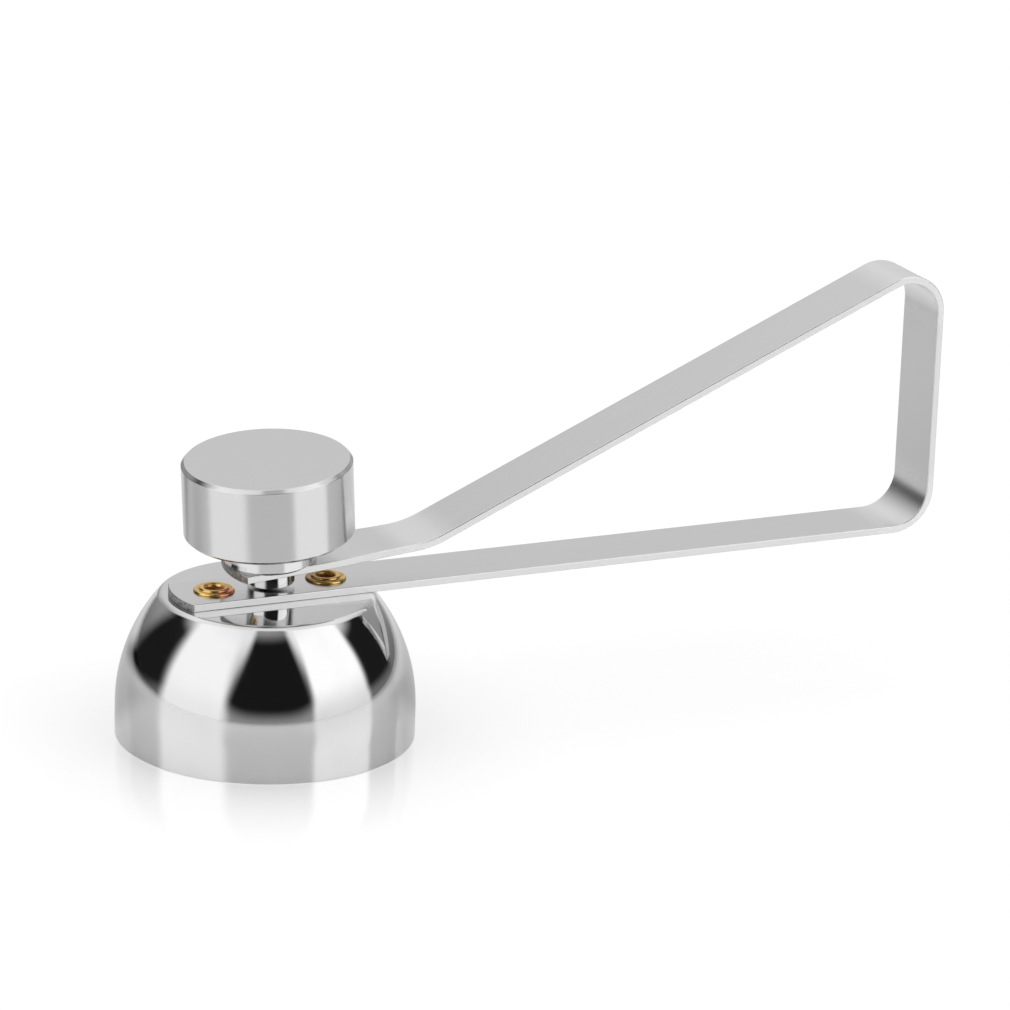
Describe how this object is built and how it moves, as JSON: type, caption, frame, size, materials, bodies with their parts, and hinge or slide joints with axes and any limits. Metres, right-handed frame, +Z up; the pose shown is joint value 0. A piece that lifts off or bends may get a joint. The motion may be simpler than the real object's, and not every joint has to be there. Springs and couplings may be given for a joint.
{
  "type": "egg topper",
  "caption": "Steel bell with a looped spring-strip handle that carries a heavy knob over the bell; the knob is pulled up and let go to crack an egg's top.",
  "frame": {"origin": "on the bell's axis, in the plane of its rim", "axes": "+Z up along the bell's axis, +X along the handle away from the bell, +Y completes the right-handed frame"},
  "size_m": [0.1173, 0.04, 0.0563],
  "materials": {
    "bell_steel": "mirror-polished stainless steel",
    "strip_steel": "satin spring steel with bright cut edges",
    "knob_steel": "fine-turned stainless steel",
    "polished_steel": "mirror-polished stainless steel",
    "eyelet_brass": "rolled brass, slightly tarnished in its creases"
  },
  "bodies": {
    "bell_body": {"bell": "bell_steel", "lower_leg": "strip_steel", "eyelets": "eyelet_brass"},
    "back_spring": {"back_upright": "strip_steel"},
    "hammer_arm": {"upper_leg": "strip_steel", "collar": "polished_steel", "knob": "knob_steel", "striker": "polished_steel"}
  },
  "joints": [
    {"name": "low_bend_flex", "type": "hinge", "parent": "bell_body", "child": "back_spring", "pos_m": [0.09519, 0, 0.02161], "axis": [0, 1, 0], "range_deg": [0, 7.5], "stiffness_Nm_per_rad": 3.2, "springref_deg": -1.15},
    {"name": "top_bend_flex", "type": "hinge", "parent": "back_spring", "child": "hammer_arm", "pos_m": [0.09453, 0, 0.05502], "axis": [0, 1, 0], "range_deg": [0, 7.5], "stiffness_Nm_per_rad": 3.2, "springref_deg": -1.15}
  ],
  "couplings": [
    {"joint": "top_bend_flex", "follows": "low_bend_flex", "ratio": 1}
  ]
}
